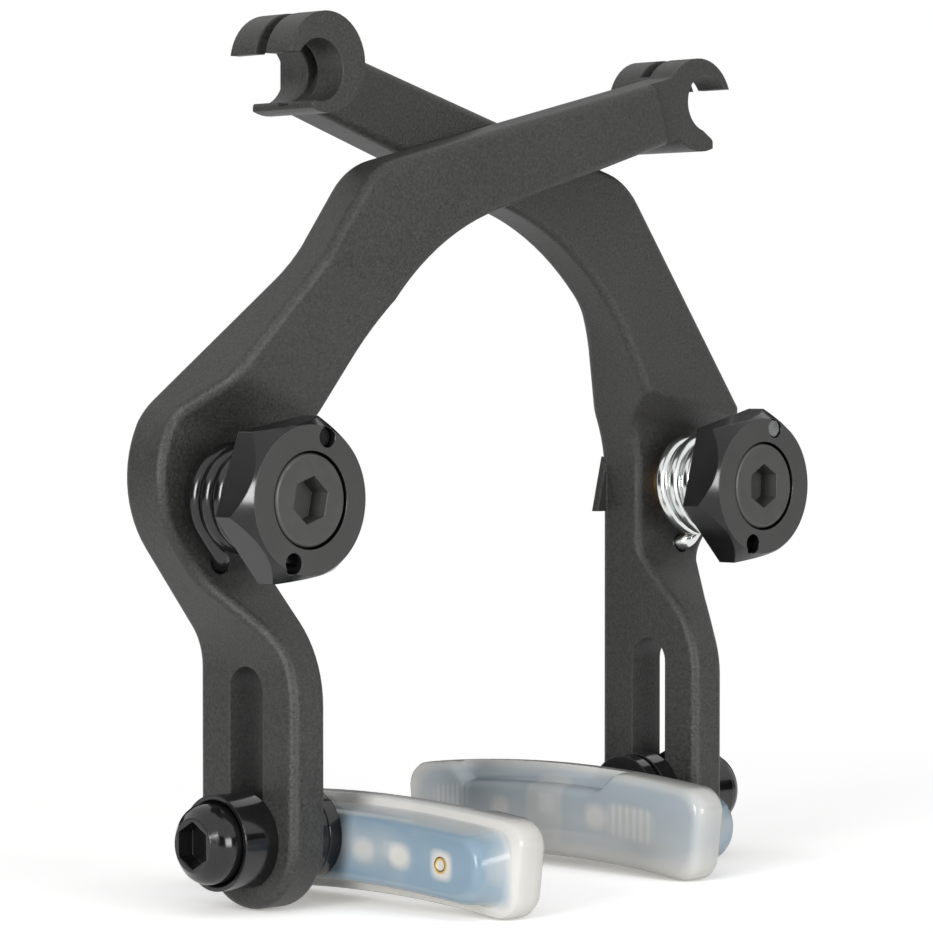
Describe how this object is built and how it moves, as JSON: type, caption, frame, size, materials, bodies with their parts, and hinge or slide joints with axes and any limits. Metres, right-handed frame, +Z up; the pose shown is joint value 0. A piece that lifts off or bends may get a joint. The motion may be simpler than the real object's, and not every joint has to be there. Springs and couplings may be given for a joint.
{
  "type": "u-brake",
  "caption": "U-brake for a bicycle: crossing sprung arms with cable hooks swing on frame studs and press clear brake pads, held in slotted legs, on a wheel rim.",
  "frame": {"origin": "midway between the two pivot axes, on the plane where the arms meet the frame studs' shoulders", "axes": "+X across the wheel, +Y along the pivots towards the bicycle frame, +Z up away from the hub"},
  "size_m": [0.1003, 0.0616, 0.1065],
  "materials": {
    "arm_paint": "matte",
    "bushing_bronze": "satin",
    "black_steel": "gloss",
    "bolt_steel": "satin",
    "black_chrome": "polished",
    "post_steel": "satin",
    "black_spring": "gloss",
    "zinc_spring": "bright",
    "clear_rubber": "translucent",
    "insert_plastic": "smooth"
  },
  "bodies": {
    "pivot_bolts": {"left_pivot_bolt": "bolt_steel", "right_pivot_bolt": "bolt_steel"},
    "left_adjuster_body": {"left_adjuster": "black_steel"},
    "left_arm_body": {"left_arm": "arm_paint", "left_bushing": "bushing_bronze", "left_return_spring": "black_spring"},
    "left_pad_clamp": {"left_outer_cup_washer": "black_chrome", "left_inner_cup_washer": "black_chrome"},
    "left_pad": {"left_pad_block": "clear_rubber", "left_pad_insert": "insert_plastic", "left_pad_post": "post_steel", "left_pad_nut": "black_chrome", "left_ball_washer": "black_chrome"},
    "right_adjuster_body": {"right_adjuster": "black_steel"},
    "right_arm_body": {"right_arm": "arm_paint", "right_bushing": "bushing_bronze", "right_return_spring": "zinc_spring"},
    "right_pad_clamp": {"right_outer_cup_washer": "black_chrome", "right_inner_cup_washer": "black_chrome"},
    "right_pad": {"right_pad_block": "clear_rubber", "right_pad_insert": "insert_plastic", "right_pad_post": "post_steel", "right_pad_nut": "black_chrome", "right_ball_washer": "black_chrome"}
  },
  "joints": [
    {"name": "left_spring_adjust", "type": "hinge", "parent": "pivot_bolts", "child": "left_adjuster_body", "pos_m": [-0.04, 0, 0], "axis": [0, 1, 0], "range_deg": [-8, 8]},
    {"name": "left_arm_pivot", "type": "hinge", "parent": "left_adjuster_body", "child": "left_arm_body", "pos_m": [-0.04, 0, 0], "axis": [0, 1, 0], "range_deg": [-12, 6], "stiffness_Nm_per_rad": 0.8, "deforming": ["left_return_spring"]},
    {"name": "left_pad_height", "type": "slide", "parent": "left_arm_body", "child": "left_pad_clamp", "axis": [0, 0, 1], "range_m": [0, 0.013]},
    {"name": "left_pad_angle", "type": "hinge", "parent": "left_pad_clamp", "child": "left_pad", "pos_m": [-0.03, -0.0085, -0.0407], "axis": [1, 0, 0], "range_deg": [-15, 15]},
    {"name": "right_spring_adjust", "type": "hinge", "parent": "pivot_bolts", "child": "right_adjuster_body", "pos_m": [0.04, 0, 0], "axis": [0, -1, 0], "range_deg": [-8, 8]},
    {"name": "right_arm_pivot", "type": "hinge", "parent": "right_adjuster_body", "child": "right_arm_body", "pos_m": [0.04, 0, 0], "axis": [0, -1, 0], "range_deg": [-12, 6], "stiffness_Nm_per_rad": 0.8, "deforming": ["right_return_spring"]},
    {"name": "right_pad_height", "type": "slide", "parent": "right_arm_body", "child": "right_pad_clamp", "axis": [0, 0, 1], "range_m": [0, 0.013]},
    {"name": "right_pad_angle", "type": "hinge", "parent": "right_pad_clamp", "child": "right_pad", "pos_m": [0.03, -0.0085, -0.0407], "axis": [1, 0, 0], "range_deg": [-15, 15]}
  ]
}
